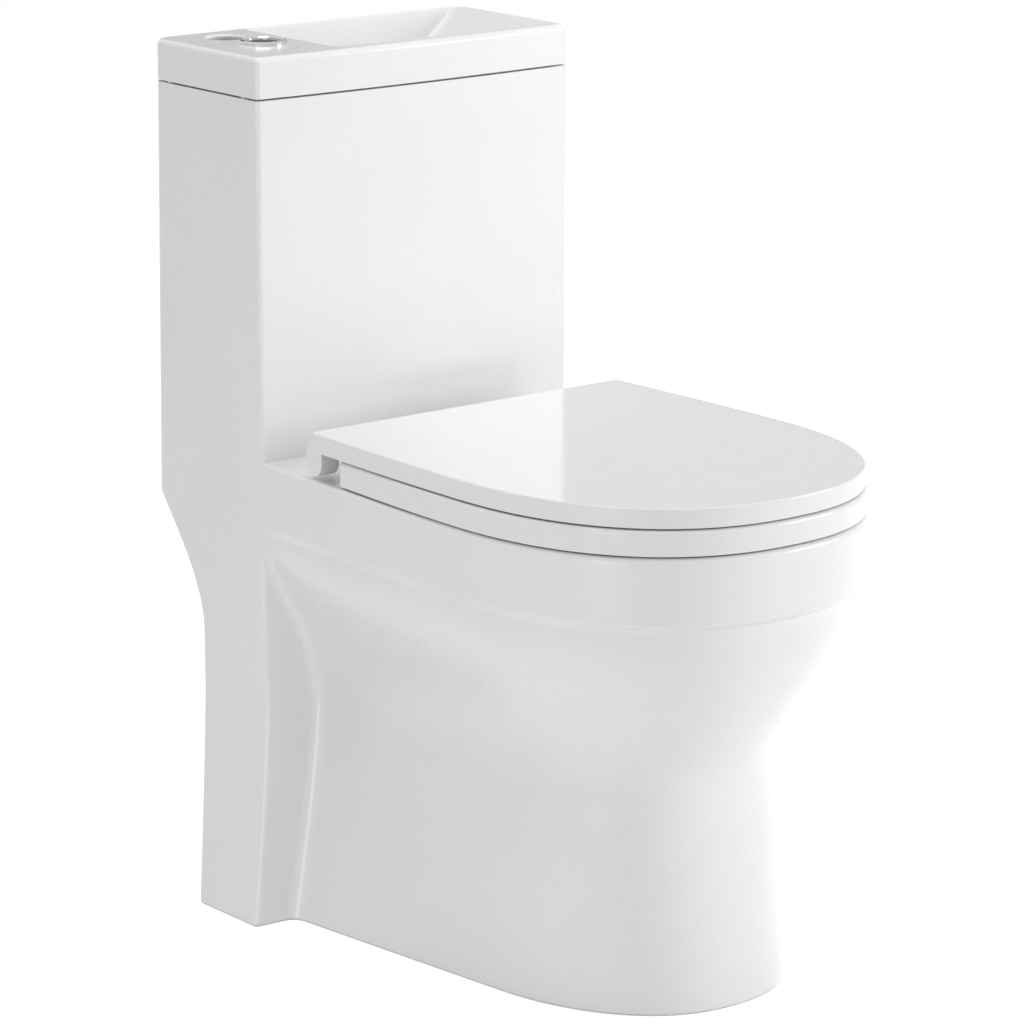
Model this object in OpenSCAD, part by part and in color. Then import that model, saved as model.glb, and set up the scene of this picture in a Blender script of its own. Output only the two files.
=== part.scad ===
// One-piece ceramic toilet with a wash basin moulded into the lid of its cistern.
// Millimetres. X runs left to right as seen from the front, Y runs from the front
// of the bowl to the wall, Z is up. The origin is on the floor, under the middle
// of the overall length and width.

/* [Overall] */
// Length from the front of the rim to the back of the cistern
overall_len = 700; // [660:5:740]
// Width of the rim at its widest
rim_w = 376; // [350:1:400]
// Height of the top of the cistern lid above the floor
overall_h = 800; // [780:1:830]
// Height of the ceramic rim above the floor
rim_h = 430; // [420:1:440]
// Thickness of the ceramic wall
wall = 10; // [9:0.5:12]

/* [Cistern] */
// Width of the cistern
tank_w = 356; // [330:1:380]
// Depth of the cistern at its lid
tank_d = 166; // [150:1:180]
// How far the front of the cistern bows forward at its middle
tank_bow = 5; // [0:0.5:10]
// Height of the cistern lid's skirt
lid_h = 37.5; // [30:0.5:45]
// How far forward of the cistern's back the rear column stands
column_step = 70; // [60:1:80]
// Width of the rear column's foot
foot_w = 424; // [400:1:430]

/* [Bowl] */
// Width of the opening in the rim
bowl_w = 294; // [270:1:300]
// Width of the rim ahead of the opening
rim_front = 42; // [36:1:50]
// Height of the band below the rim's edge
band_h = 59; // [50:1:70]
// Inside diameter of the trapway
trap_d = 52; // [48:1:56]

/* [Seat] */
// Height of the seat ring's side
ring_h = 22.5; // [18:0.5:26]
// Height of the seat cover's side
cover_h = 17.5; // [14:0.5:22]
// Distance between the two seat bolts
bolt_pitch = 155; // [140:1:170]

/* [Basin] */
// Length of the basin's opening along the cistern
basin_l = 250; // [220:1:255]
// Depth of the basin
basin_deep = 68; // [50:1:75]
// Diameter of the tap hole
tap_d = 35; // [32:0.5:36]
// Diameter of the flush button's bezel
bezel_d = 44; // [40:0.5:48]

/* [Hidden] */
$fn = 48;
eps = 0.01;

// Shared places
back_y = overall_len / 2;
front_y = -overall_len / 2;
tank_front_y = back_y - 7.5 - tank_d;
lid_back_y = back_y - 7.5;
seam_gap = 1.5;
tank_top = overall_h - lid_h - seam_gap;
shoulder_y = -117;
column_back_y = back_y - column_step;
tank_floor = rim_h - 18;
pocket_floor = rim_h - 65;
pocket_y = 279;
inner_front_y = tank_front_y + wall;

// Seat places: the hinge axis runs along X
hinge_y = 93;
hinge_z = rim_h + 19;
ring_z = rim_h + 1.5;
ring_top = ring_z + ring_h;
cover_z = ring_top + 1.5;
cover_top = cover_z + cover_h;
ring_back_y = 62;
cover_back_y = 101;
barrel_r = 11;
pin_r = 5;
bore_r = 5.05;
post_x = [64, 91];
ring_lug_x = [46, 63.4];
cover_lug_x = [91.6, 109];
ring_size = [rim_w / 2 - 8, rim_w / 2 - 1, front_y + 1, ring_back_y, 12];
cover_size = [rim_w / 2 - 10, rim_w / 2 - 3.5, front_y + 2, cover_back_y, 6];
ring_hole = [115, -290, 0];
seat_wall = 3.6;
seat_top_t = 5;
leg_r = 12.5;
leg_at = [97, rim_h + 15.5];
cover_edge = 1.5;

// Flush button, tap hole and basin places on the lid
button_x = -118;
button_y = 250;
tap_x = -123;
tap_y = 303;
lid_z = tank_top + seam_gap;
plate_t = 10;
lid_wall = 9;
basin_x0 = -78;
basin_slope = 102;
basin_floor = overall_h - basin_deep;
waste_x = 0;
waste_y = 264;
shell_t = 8;
button_hole_r = 20;
well_r = 17.8;
button_r = 17.5;
split_r = 20;
split_x = -22;
full_rod_x = 8;
half_rod_x = -11;

// Flush valve and fill valve axes
flush_x = -118;
flush_y = 273;
tower_top = tank_floor + 208;
tube_r = 13;
lever_z = tank_floor + 248;
lever_y = -13;
lever_x = [14.4, 20];
lever_t = lever_x[1] - lever_x[0];
fill_x = 120;
fill_y = 300;
shank_r = 10.4;
neck_r = 11;
riser_r = 13;
arm_x = -26;
arm_z = tank_floor + 262;
link_x = -53;
link_r = 2.2;
shank_z = pocket_floor - 60;
neck_z = shank_z + 33;
head_z = tank_floor + 200;
cap_z = head_z + 48;
float_z = tank_floor + 78;

// A soft step from 0 to 1 as t runs from 0 to 1
function clamp01(t) = min(1, max(0, t));
function soft(t) = let (c = clamp01(t)) c * c * (3 - 2 * c);
function mix(a, b, t) = a + (b - a) * t;
function signed_pow(v, p) = sign(v) * pow(abs(v), p);

// Half-widths and front of the body at height z. The waist lies between the
// swelling bowl above and the spreading foot below.
waist_z = 200;
crease_z = rim_h - band_h - 8;
function swell(z, p) = soft(pow(clamp01((z - waist_z) / (crease_z - waist_z)), p));
function spread(z, p) = pow(clamp01(1 - z / waist_z), p);
function band(z) = soft((z - crease_z) / 9);
function column_half(z) = mix(tank_w / 2, foot_w / 2, spread(z, 1.2));
function back_half(z) = 121 + (tank_w / 2 - 123) * swell(z, 1.3) + 51 * spread(z, 1.3) + 2 * band(z);
function front_half(z) = 125 + 56 * swell(z, 1.15) + 16 * spread(z, 1.2) + (rim_w / 2 - 181) * band(z);
function front_at(z) = -260 + (front_y + 270) * swell(z, 0.8) - 23 * spread(z, 1.1) - 10 * band(z);
// Front of the rear column, which comes forward at its foot
function column_front(z) = tank_front_y - 29 * pow(clamp01(1 - z / 240), 1.15);

// One level of the body: a U that starts inside the column, sweeps in a cove to
// the side of the pedestal and closes in a round front
cove_r = 12;
cove_steps = 6;
front_steps = 16;
// Half-width of the side at y: above, it swells to the shoulder and stays parallel,
// near the floor it keeps tapering towards the front, and it eases between the two
function side_x(y, z) = let (b = back_half(z), w = front_half(z) - b,
        t = (tank_front_y - y) / (tank_front_y - shoulder_y))
    b + w * mix(t, sin(90 * clamp01(t)), soft((w + 8) / 16));
front_power = 2 / 2.3;
function half_level(z, inset, y_back) = let (y0 = column_front(z) + 1.5, y1 = y0 - cove_r,
        x1 = side_x(y1, z), w = min(cove_r, column_half(z) - 0.4 - x1)) concat(
    [[x1 + w - inset, y_back]],
    [for (i = [0 : cove_steps]) let (a = 90 * i / cove_steps)
        [x1 + w * (1 - sin(a)) - inset, y0 - cove_r * (1 - cos(a))]],
    [for (y = [90, 30, -40]) [side_x(y, z) - inset, y]],
    [for (i = [0 : front_steps]) let (a = 90 * i / front_steps,
            y = shoulder_y - (shoulder_y - front_at(z) - inset) * pow(sin(a), front_power))
        [(side_x(y, z) - inset) * pow(cos(a), front_power), y]]);
function mirrored(points) = concat([for (p = points) [-p[0], p[1]]],
    [for (i = [len(points) - 2 : -1 : 0]) points[i]]);
function body_level(z, inset, y_back) = [for (p = mirrored(half_level(z, inset, y_back))) [p[0], p[1], z]];

// A closed superellipse level for the bowl, front and back given
bowl_steps = 44;
function bowl_level(z, half, y0, y1, n) = [for (i = [0 : bowl_steps - 1]) let (a = 360 * i / bowl_steps)
    [half * signed_pow(cos(a), 2 / n), (y0 + y1) / 2 + (y1 - y0) / 2 * signed_pow(sin(a), 2 / n), z]];

// A rectangle with round corners, from x0 to x1 and y0 to y1
corner_steps = 6;
function round_rect(x0, x1, y0, y1, r, z) = [for (c = [[x1 - r, y0 + r, 270], [x1 - r, y1 - r, 0],
        [x0 + r, y1 - r, 90], [x0 + r, y0 + r, 180]], i = [0 : corner_steps])
    let (a = c[2] + 90 * i / corner_steps) [c[0] + r * cos(a), c[1] + r * sin(a), z]];

// Joins levels of equal point counts into one solid. The levels are listed from
// the bottom up, and seen from above the points of each run anticlockwise.
module loft(levels) {
    n = len(levels[0]);
    m = len(levels);
    sides = [for (k = [0 : m - 2], i = [0 : n - 1]) let (j = (i + 1) % n)
        each [[k * n + i, (k + 1) * n + i, (k + 1) * n + j], [k * n + i, (k + 1) * n + j, k * n + j]]];
    caps = [[for (i = [0 : n - 1]) i], [for (i = [n - 1 : -1 : 0]) (m - 1) * n + i]];
    polyhedron([for (l = levels) each l], concat(sides, caps));
}

// Plan of the cistern: a bowed front, round corners
function tank_plan(inset) = let (h = tank_w / 2 - inset, y0 = tank_front_y + inset,
        y1 = lid_back_y - inset, rf = 5, rb = 14)
    concat([for (i = [-5 : 5]) let (x = (h - rf) * i / 5) [x, y0 - tank_bow * (1 - pow(i / 5, 2))]],
        [for (a = [-60 : 30 : 0]) [h - rf + rf * cos(a), y0 + rf + rf * sin(a)]],
        [for (a = [0 : 22.5 : 90]) [h - rb + rb * cos(a), y1 - rb + rb * sin(a)]],
        [for (a = [90 : 22.5 : 180]) [-h + rb + rb * cos(a), y1 - rb + rb * sin(a)]],
        [for (a = [180 : 30 : 240]) [-h + rf + rf * cos(a), y0 + rf + rf * sin(a)]]);

// Back of the cistern and column at height z: plumb, then stepping forward
step_top = pocket_floor + 8;
step_bottom = 250;
foot_tuck = 36;
function step_share(z) = sin(90 * pow(clamp01((step_top - z) / (step_top - step_bottom)), 1.05));
function back_at(z) = z > step_top ? mix(back_y, lid_back_y, (z - step_top) / (tank_top - step_top))
    : mix(back_y, column_back_y, step_share(z)) - foot_tuck * spread(z, 1.2);
function column_level(z) = [for (p = tank_plan(0)) let (
        k = column_half(z) / (tank_w / 2),
        t = (p[1] - tank_front_y) / (lid_back_y - tank_front_y))
    [p[0] * k, t < 0 ? p[1] + column_front(z) - tank_front_y : mix(column_front(z), back_at(z), t), z]];

// Centre line of the trapway: in at the foot of the sump, up at trap_rise degrees,
// over the weir that sets the water level, and down to the floor
trap_wall = 10;
water_z = rim_h - 195;
bend_r = 38;
trap_rise = 65;
trap_in = [-86, rim_h - 271];
weir_z = water_z + trap_d / 2 - bend_r;
climb = weir_z + bend_r * cos(trap_rise) - (trap_in[1] + bend_r * (1 - cos(trap_rise)));
weir_y = trap_in[0] + 2 * bend_r * sin(trap_rise) + climb / tan(trap_rise);
outlet_y = weir_y + bend_r;
trap_path = concat([[trap_in[0] - 30, trap_in[1], 0]],
    [for (a = [0 : 13 : trap_rise]) [trap_in[0] + bend_r * sin(a), trap_in[1] + bend_r * (1 - cos(a)), a]],
    [for (i = [0 : 10]) let (a = mix(trap_rise, -90, i / 10))
        [weir_y - bend_r * sin(a), weir_z + bend_r * cos(a), a]],
    [[outlet_y, 50, -90]]);
module trap_tube(r, sides = 12) {
    loft([for (p = trap_path) [for (i = [0 : sides - 1]) let (a = 360 * i / sides)
        [r * cos(a), p[0] + r * sin(a) * sin(p[2]), p[1] - r * sin(a) * cos(p[2])]]]);
}

// The bowl's inside and the outside of its shell
bowl_y0 = front_y + rim_front;
bowl_y1 = 36;
sump_y = -115;
bowl_half = bowl_w / 2;
bowl_profile = [
    [298, 0.18, 0.18, 2.0], [288, 0.25, 0.25, 2.0], [245, 0.275, 0.275, 2.0], [205, 0.32, 0.33, 2.05],
    [175, 0.41, 0.44, 2.1], [145, 0.52, 0.57, 2.2], [115, 0.64, 0.70, 2.3], [85, 0.75, 0.81, 2.4],
    [62, 0.82, 0.88, 2.5], [54, 0.88, 0.925, 2.6], [30, 0.915, 0.945, 2.7], [12, 0.93, 0.955, 2.8],
    [4, 0.955, 0.972, 2.8], [-eps, 1, 1, 2.8]];
function bowl_inside(p, grow) = bowl_level(rim_h - p[0] - grow, bowl_half * p[1] + grow,
    mix(sump_y, bowl_y0, p[2]) - grow, mix(sump_y, bowl_y1, p[2]) + grow, p[3]);

passage_z = rim_h - 52;
// Passage from the flush valve's hole forward to the back of the bowl
module flush_passage() {
    translate([0, 0, passage_z])
        linear_extrude(20)
            polygon([[-146, 302], [-146, 236], [-62, 110], [-44, 60], [-44, 10], [44, 10],
                [44, 60], [30, 110], [-60, 190], [-88, 236], [-88, 302]]);
}

// The cistern's cavity has a pocket at the back right, where the fill valve stands
pocket_x = -60;
module across(x0, x1) {
    rotate([90, 0, 90])
        translate([0, 0, x0])
            linear_extrude(x1 - x0)
                children();
}
module cistern_space() {
    half = tank_w / 2 - wall;
    across(-half, half)
        polygon([[inner_front_y, tank_floor], [back_y - wall, tank_floor],
            [lid_back_y - wall, tank_top + 5], [inner_front_y, tank_top + 5]]);
    across(pocket_x, half)
        polygon([[262, tank_floor + 1], [pocket_y, pocket_floor], [330, pocket_floor],
            [back_y - wall, pocket_floor + 35], [back_y - wall, tank_floor + 1]]);
}

body_z = concat([0, 5, 35, 70, 105, 140, 175], [for (i = [0 : 10]) waist_z + 15 * i],
    [crease_z - 5, crease_z, crease_z + 3, crease_z + 6, crease_z + 9, crease_z + 18]);
column_z = concat([0, 20, 45, 70, 95, 120, 150, 180, 215],
    [for (i = [0 : 10]) mix(step_bottom, step_top, i / 10)], [tank_top]);

// Hollow under the bowl, open at the floor, with a gallery up inside the rim
gallery_back_y = 20;
// The body's levels end inside the column here
join_y = 200;
module foot_space() {
    difference() {
        union() {
            loft([for (z = [-1, 35, 95, 147, waist_z, 230, 260, 290, 320, passage_z - wall])
                body_level(z, wall, z > step_bottom ? 240 : back_at(z) - wall)]);
            difference() {
                loft([for (z = [passage_z - wall - 1, crease_z, crease_z + 8, rim_h - 14])
                    body_level(z, wall, join_y)]);
                translate([-rim_w, gallery_back_y, 0]) cube([2 * rim_w, overall_len, overall_h]);
            }
        }
        loft([for (p = bowl_profile) bowl_inside(p, wall)]);
        trap_tube(trap_d / 2 + trap_wall);
    }
}

module casting() {
    difference() {
        union() {
            loft(concat([for (z = body_z) body_level(z, z == 0 ? 3 : 0, join_y)],
                [for (l = [[5, 0], [1.5, 1.4], [0, 5]]) body_level(rim_h - l[0], l[1], join_y)]));
            loft([for (z = column_z) column_level(z)]);
        }
        foot_space();
        loft([for (p = bowl_profile) bowl_inside(p, 0)]);
        trap_tube(trap_d / 2);
        flush_passage();
        cistern_space();
    }
}

// Holes for the bolts, the valves and the floor outlet are cut in the fired casting
outlet_r = 51;
anchor_y = [-42, 42];
module pan_body() {
    color("white")
        difference() {
            union() {
                resize([foot_w, 0, 0]) casting();
                translate([0, outlet_y, 8]) cylinder(r = outlet_r, h = 74);
            }
            translate([0, outlet_y, 0]) cylinder(r = 40, h = 60);
            translate([0, outlet_y, 60 - eps]) cylinder(r1 = 40, r2 = trap_d / 2, h = 22.1);
            for (s = [-1, 1])
                translate([s * bolt_pitch / 2, hinge_y, rim_h - 46]) cylinder(r = 8, h = 50);
            translate([flush_x, flush_y, tank_floor - 22]) cylinder(r = 26, h = 30);
            for (y = anchor_y)
                translate([flush_x, flush_y + y, tank_floor - 12]) cylinder(r = 4, h = 20);
            translate([fill_x, fill_y, pocket_floor - 45]) cylinder(r = 12, h = 60);
            translate([fill_x, fill_y, step_bottom - 4]) cylinder(r = 19, h = 50);
            translate([fill_x, fill_y, pocket_floor - 75]) cylinder(r = 23, h = 60);
        }
}

// Seat fittings: plates bolted to the deck, posts clipped over them, hinge pins
module prism(x0, x1, y0, y1, z0, z1, r) {
    translate([0, 0, z0])
        linear_extrude(z1 - z0)
            polygon([for (p = round_rect(x0, x1, y0, y1, r, 0)) [p[0], p[1]]]);
}
module at_bolts() {
    for (s = [-1, 1])
        translate([s * bolt_pitch / 2, hinge_y, 0]) children();
}
// A cylinder along X between two places on the hinge axis
module hinge_rod(x, r) {
    translate([x[0], hinge_y, hinge_z]) rotate([0, 90, 0]) cylinder(r = r, h = x[1] - x[0]);
}
module both_sides() {
    for (s = [0, 1]) mirror([s, 0, 0]) children();
}

module hinge_plates() {
    color("lightgray")
        at_bolts()
            difference() {
                prism(-16, 16, -13, 13, rim_h, rim_h + 4, 4);
                translate([0, 0, rim_h - 1]) cylinder(r = 4.3, h = 6);
            }
}

module hinge_posts() {
    color("whitesmoke")
        both_sides()
            difference() {
                union() {
                    prism(post_x[0], post_x[1], hinge_y - 13, hinge_y + 13, rim_h + 4, rim_h + 7, 4);
                    across(post_x[0], post_x[1])
                        polygon([[hinge_y - 11, rim_h + 6], [hinge_y + 11, rim_h + 6],
                            [hinge_y + 9.5, hinge_z], [hinge_y - 9.5, hinge_z]]);
                    hinge_rod(post_x, barrel_r);
                }
                hinge_rod([post_x[0] - 1, post_x[1] + 1], pin_r);
                translate([bolt_pitch / 2, hinge_y, rim_h + 3]) cylinder(r = 7.5, h = 6.5);
            }
}

module seat_bolts() {
    color("silver")
        at_bolts() {
            translate([0, 0, rim_h - 44]) cylinder(r = 4, h = 49);
            translate([0, 0, rim_h + 4]) cylinder(r = 6.8, h = 4.5, $fn = 6);
        }
}

module bolt_sleeves() {
    color("dimgray")
        at_bolts()
            translate([0, 0, rim_h - 37])
                difference() {
                    union() {
                        cylinder(r = 7.7, h = 36.8);
                        for (z = [6 : 8 : 30]) translate([0, 0, z]) cylinder(r = 7.95, h = 3);
                    }
                    translate([0, 0, -1]) cylinder(r = 4, h = 40);
                }
}

module sleeve_nuts() {
    color("gold")
        at_bolts()
            translate([0, 0, rim_h - 44])
                difference() {
                    cylinder(r = 7.5, h = 7, $fn = 6);
                    translate([0, 0, -1]) cylinder(r = 4, h = 10);
                }
}

// Slow-close dampers: the pins that the ring and the cover turn on
module damper() {
    hinge_rod([ring_lug_x[0] - 2, cover_lug_x[1] + 0.6], pin_r);
    hinge_rod([cover_lug_x[1] + 0.6, cover_lug_x[1] + 2.4], 6.5);
}
module ring_damper() {
    color("gray") damper();
}
module cover_damper() {
    color("gray") mirror([1, 0, 0]) damper();
}

// Plan of the seat: round back corners, nearly parallel sides, a round front
function seat_plan(size, inset) = let (b = size[0] - inset, s = size[1] - inset,
        y0 = size[2] + inset, y1 = size[3] - inset, r = size[4])
    mirrored(concat(
        [for (a = [90 : -30 : 0]) [b - r + r * cos(a), y1 - r + r * sin(a)]],
        [for (t = [0.35, 0.7]) [mix(b, s, sin(90 * t)), mix(y1 - r, shoulder_y, t)]],
        [for (i = [0 : front_steps]) let (a = 90 * i / front_steps, n = 2 / 2.3)
            [s * pow(cos(a), n), shoulder_y - (shoulder_y - y0) * pow(sin(a), n)]]));
function seat_level(size, inset, z) = [for (p = seat_plan(size, inset)) [p[0], p[1], z]];
function hole_level(grow, z) =
    bowl_level(z, ring_hole[0] + grow, ring_hole[1] - grow, ring_hole[2] + grow, 2.4);

// Places of the rubber buffers: one side's pair, front and rear
ring_pads = [[115, -285], [150, 22]];
cover_pads = [[117, -266], [148, -20]];

module ring_shell() {
    difference() {
        loft([for (l = [[0, 1.5], [1.5, 0], [ring_h - 4, 0], [ring_h - 1, 1.2], [ring_h, 4]])
            seat_level(ring_size, l[1], ring_z + l[0])]);
        loft([for (l = [[-1, -1], [ring_h - 5, 0], [ring_h - 1.2, 1.2], [ring_h + eps, 4.5]])
            hole_level(l[1], ring_z + l[0])]);
        difference() {
            loft([for (z = [ring_z - 1, ring_top - seat_top_t]) seat_level(ring_size, seat_wall, z)]);
            loft([for (z = [ring_z - 2, ring_top]) hole_level(seat_wall, z)]);
        }
    }
}

module seat_ring() {
    color("white")
        difference() {
            union() {
                resize([2 * ring_size[1], 0, 0]) ring_shell();
                both_sides() {
                    hinge_rod(ring_lug_x, barrel_r);
                    across(ring_lug_x[0], ring_lug_x[1])
                        polygon([[ring_back_y - 3, ring_top - 12], [hinge_y, hinge_z - 7],
                            [hinge_y, ring_top], [ring_back_y - 3, ring_top - 0.5]]);
                    for (p = ring_pads)
                        translate([p[0], p[1], ring_z + 2.5]) cylinder(r = 10, h = ring_h - 5);
                }
            }
            both_sides() {
                hinge_rod([ring_lug_x[0] - 1, ring_lug_x[1] + 1], bore_r);
                for (p = ring_pads)
                    translate([p[0], p[1], ring_z]) cylinder(r = 3.5, h = 10);
            }
        }
}

module buffers(places, z0, foot) {
    both_sides()
        for (p = places)
            translate([p[0], p[1], z0]) {
                cylinder(r = 9, h = foot);
                translate([0, 0, foot]) cylinder(r = 3.5, h = 6);
            }
}
module ring_buffers() {
    color("gainsboro") buffers(ring_pads, rim_h + 0.1, 3.9);
}

module cover_shell() {
    difference() {
        loft([for (l = [[0, 0.6], [1.2, 0], [cover_h - cover_edge, 0],
                [cover_h - 0.3 * cover_edge, 0.3 * cover_edge], [cover_h, cover_edge]])
            seat_level(cover_size, l[1], cover_z + l[0])]);
        loft([for (z = [cover_z - 1, cover_top - seat_top_t]) seat_level(cover_size, seat_wall, z)]);
    }
}

// The cover's ends come down beside the hinge in short legs with round ends
module cheek() {
    x1 = cover_size[0];
    top = cover_top - cover_edge - 0.5;
    difference() {
        across(x1 - 20, x1 - 0.3) {
            translate(leg_at) circle(r = leg_r);
            polygon([[leg_at[0] - leg_r, leg_at[1]], [leg_at[0] - leg_r, top], [cover_back_y - 0.5, top],
                [leg_at[0] + leg_r, leg_at[1]]]);
        }
        across(x1 - 21, x1 - seat_wall)
            translate(leg_at) circle(r = leg_r - seat_wall);
    }
}

module seat_cover() {
    notch_x = [ring_lug_x[0] - 3.5, cover_lug_x[1] + 3.5];
    color("white")
        difference() {
            union() {
                resize([2 * cover_size[1], 0, 0]) cover_shell();
                both_sides() {
                    cheek();
                    hinge_rod(cover_lug_x, barrel_r);
                    across(cover_lug_x[0], cover_lug_x[1])
                        polygon([[hinge_y - 10, hinge_z + 3], [hinge_y + 6, hinge_z + 3],
                            [hinge_y + 6, cover_top - 4], [hinge_y - 22, cover_top - 4]]);
                    for (p = cover_pads)
                        translate([p[0], p[1], cover_z + 2.5]) cylinder(r = 10, h = cover_h - 5);
                }
            }
            both_sides() {
                hinge_rod([cover_lug_x[0] - 1, cover_lug_x[1] + 1], bore_r);
                translate([notch_x[0], cover_back_y - 6, cover_z - 1])
                    cube([notch_x[1] - notch_x[0], 8, hinge_z + 13 - cover_z + 1]);
                for (p = cover_pads)
                    translate([p[0], p[1], cover_z]) cylinder(r = 3.5, h = 9);
            }
        }
}
module cover_buffers() {
    color("gainsboro") buffers(cover_pads, ring_top + 0.1, 3.9);
}

// The lid of the cistern, with the basin moulded in it
function lid_level(inset, z) = [for (p = tank_plan(inset)) [p[0], p[1], z]];
function basin_level(inset, z) = let (t = (z - basin_floor) / basin_deep, r = mix(20, 9, t))
    round_rect(mix(basin_x0 + 12, basin_x0, t) + inset,
        basin_x0 + basin_l - basin_slope * (1 - t) - inset, mix(204, 192, t) + inset,
        (t < 0.45 ? mix(315, 321, t / 0.45) : mix(321, 337, (t - 0.45) / 0.55)) - inset, r - inset, z);
basin_round = 14;
module lid_rib(x0, x1, y0, y1) {
    translate([x0, y0, tank_top - 11]) cube([x1 - x0, y1 - y0, lid_h + 4]);
}
module lid_shell() {
    difference() {
        union() {
            difference() {
                loft([for (l = [[0, 0.8], [1.2, 0], [lid_h - 4, 0], [lid_h - 1.2, 1], [lid_h, 3.5]])
                    lid_level(l[1], lid_z + l[0])]);
                loft([for (z = [lid_z - 1, overall_h - plate_t]) lid_level(lid_wall, z)]);
            }
            loft([for (z = [basin_floor - shell_t, tank_top, overall_h - plate_t + 1])
                basin_level(-shell_t, z)]);
            lid_rib(-163, -157, 190, 327);
            lid_rib(157, 163, 190, 327);
            lid_rib(-163, -95, 190, 196);
        }
        loft(concat([for (a = [0 : 22.5 : 90])
                basin_level(basin_round * (1 - sin(a)), basin_floor + basin_round * (1 - cos(a)))],
            [basin_level(0, tank_top), basin_level(0, overall_h - 4), basin_level(-0.8, overall_h - 1.2),
                basin_level(-2.6, overall_h + eps)]));
    }
}
tap_round = 3;
module cistern_lid() {
    color("white")
        difference() {
            resize([tank_w, 0, 0]) lid_shell();
            translate([button_x, button_y, overall_h - 20]) cylinder(r = button_hole_r, h = 30);
            translate([tap_x, tap_y, 0]) {
                translate([0, 0, overall_h - 20]) cylinder(r = tap_d / 2, h = 30);
                rotate_extrude()
                    difference() {
                        translate([0, overall_h - tap_round])
                            square([tap_d / 2 + tap_round, tap_round + 1]);
                        translate([tap_d / 2 + tap_round, overall_h - tap_round]) circle(r = tap_round);
                    }
            }
            translate([waste_x, waste_y, 0]) {
                translate([0, 0, basin_floor - 20]) cylinder(r = 22.5, h = 30);
                translate([0, 0, basin_floor - 1.5]) cylinder(r = 32, h = 5);
            }
        }
}
module lid_pads() {
    color("gainsboro")
        both_sides()
            for (y = [202, 318])
                translate([tank_w / 2 - 5, y, tank_top]) cylinder(r = 3.5, h = seam_gap);
}

// Waste of the basin, which drains into the cistern
waste_r = 21;
waste_bore = 18;
flange_z = basin_floor - 1.5;
waste_end = basin_floor - 55;
module at_waste() {
    translate([waste_x, waste_y, 0]) children();
}
module basin_waste() {
    color("silver")
        at_waste()
            union() {
                rotate_extrude()
                    polygon([[waste_bore, waste_end], [waste_r, waste_end], [waste_r, flange_z],
                        [31, flange_z], [31, flange_z + 1], [29, flange_z + 3], [21, flange_z + 3],
                        [waste_bore, flange_z + 1]]);
                translate([0, 0, flange_z - 3])
                    difference() {
                        cylinder(r = waste_bore + 0.5, h = 2.5);
                        for (a = [0 : 60 : 300])
                            rotate(a) translate([11.5, 0, -1]) cylinder(r = 4, h = 5);
                        translate([0, 0, -1]) cylinder(r = 4, h = 5);
                    }
            }
}
module collar(r_in, r_out, z0, z1) {
    translate([0, 0, z0])
        difference() {
            cylinder(r = r_out, h = z1 - z0);
            translate([0, 0, -1]) cylinder(r = r_in, h = z1 - z0 + 2);
        }
}
module waste_gasket() {
    color("black") at_waste() collar(waste_r, 29, basin_floor - shell_t - 2, basin_floor - shell_t);
}
module nut(r_bore, r_out, z0, z1, lobes) {
    difference() {
        collar(r_bore, r_out, z0, z1);
        for (i = [0 : lobes - 1])
            rotate(360 * i / lobes) translate([r_out + 2, 0, z0 - 1]) cylinder(r = 4.5, h = z1 - z0 + 2);
    }
}
module waste_nut() {
    color("whitesmoke") at_waste() nut(waste_r, 30, basin_floor - 22, basin_floor - shell_t - 2, 8);
}
module waste_tailpipe() {
    color("whitesmoke")
        at_waste()
            rotate_extrude()
                polygon([[15, waste_end - 43], [17, waste_end - 43], [17, waste_end - 7],
                    [waste_r, waste_end - 5], [waste_r, waste_end], [17.9, waste_end],
                    [17.9, waste_end + 17], [15, waste_end + 17]]);
}

// Flush button: two chrome keys in a round well through the lid
well_floor = overall_h - 40;
key_z = overall_h - 16;
module at_button() {
    translate([button_x, button_y, 0]) children();
}
module button_bezel() {
    color("silver")
        at_button()
            rotate_extrude()
                polygon([[well_r, overall_h], [bezel_d / 2, overall_h], [bezel_d / 2, overall_h + 1.5],
                    [bezel_d / 2 - 1, overall_h + 3], [bezel_d / 2 - 2.6, overall_h + 3.6],
                    [well_r, overall_h + 2.4]]);
}
module button_housing() {
    color("whitesmoke")
        at_button()
            difference() {
                translate([0, 0, well_floor]) cylinder(r = button_hole_r - 0.4, h = overall_h - well_floor);
                translate([0, 0, well_floor + 3]) cylinder(r = well_r, h = 50);
                for (x = [full_rod_x, half_rod_x])
                    translate([x, 0, well_floor - 1]) cylinder(r = 3.4, h = 5);
            }
}
module button_nut() {
    color("whitesmoke")
        at_button()
            nut(button_hole_r - 0.4, 27, overall_h - plate_t - 10, overall_h - plate_t, 8);
}
// Outline of a key, drawn in by a margin: the smaller key is cut from the round
// by a second circle, and the larger one is the rest
module key_plan(small, margin) {
    if (small)
        intersection() {
            circle(r = button_r - margin);
            translate([split_x, 0]) circle(r = split_r - margin);
        }
    else
        difference() {
            circle(r = button_r - margin);
            translate([split_x, 0]) circle(r = split_r + 0.4 + margin);
        }
}
module key(small, rod_x) {
    at_button() {
        intersection() {
            translate([0, 0, key_z]) linear_extrude(overall_h + 10 - key_z) key_plan(small, 0);
            translate([0, 0, overall_h + 3 - 120]) sphere(r = 120, $fn = 96);
            difference() {
                translate([0, 0, key_z]) cylinder(r = 30, h = 50);
                translate([0, 0, key_z - 1]) linear_extrude(overall_h + 2 - key_z) key_plan(small, 1.8);
            }
        }
        translate([rod_x, 0, key_z]) cylinder(r = 4.6, h = overall_h + 1.5 - key_z);
    }
}
module full_button() {
    color("silver") key(false, full_rod_x);
}
module half_button() {
    color("silver") key(true, half_rod_x);
}
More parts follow.
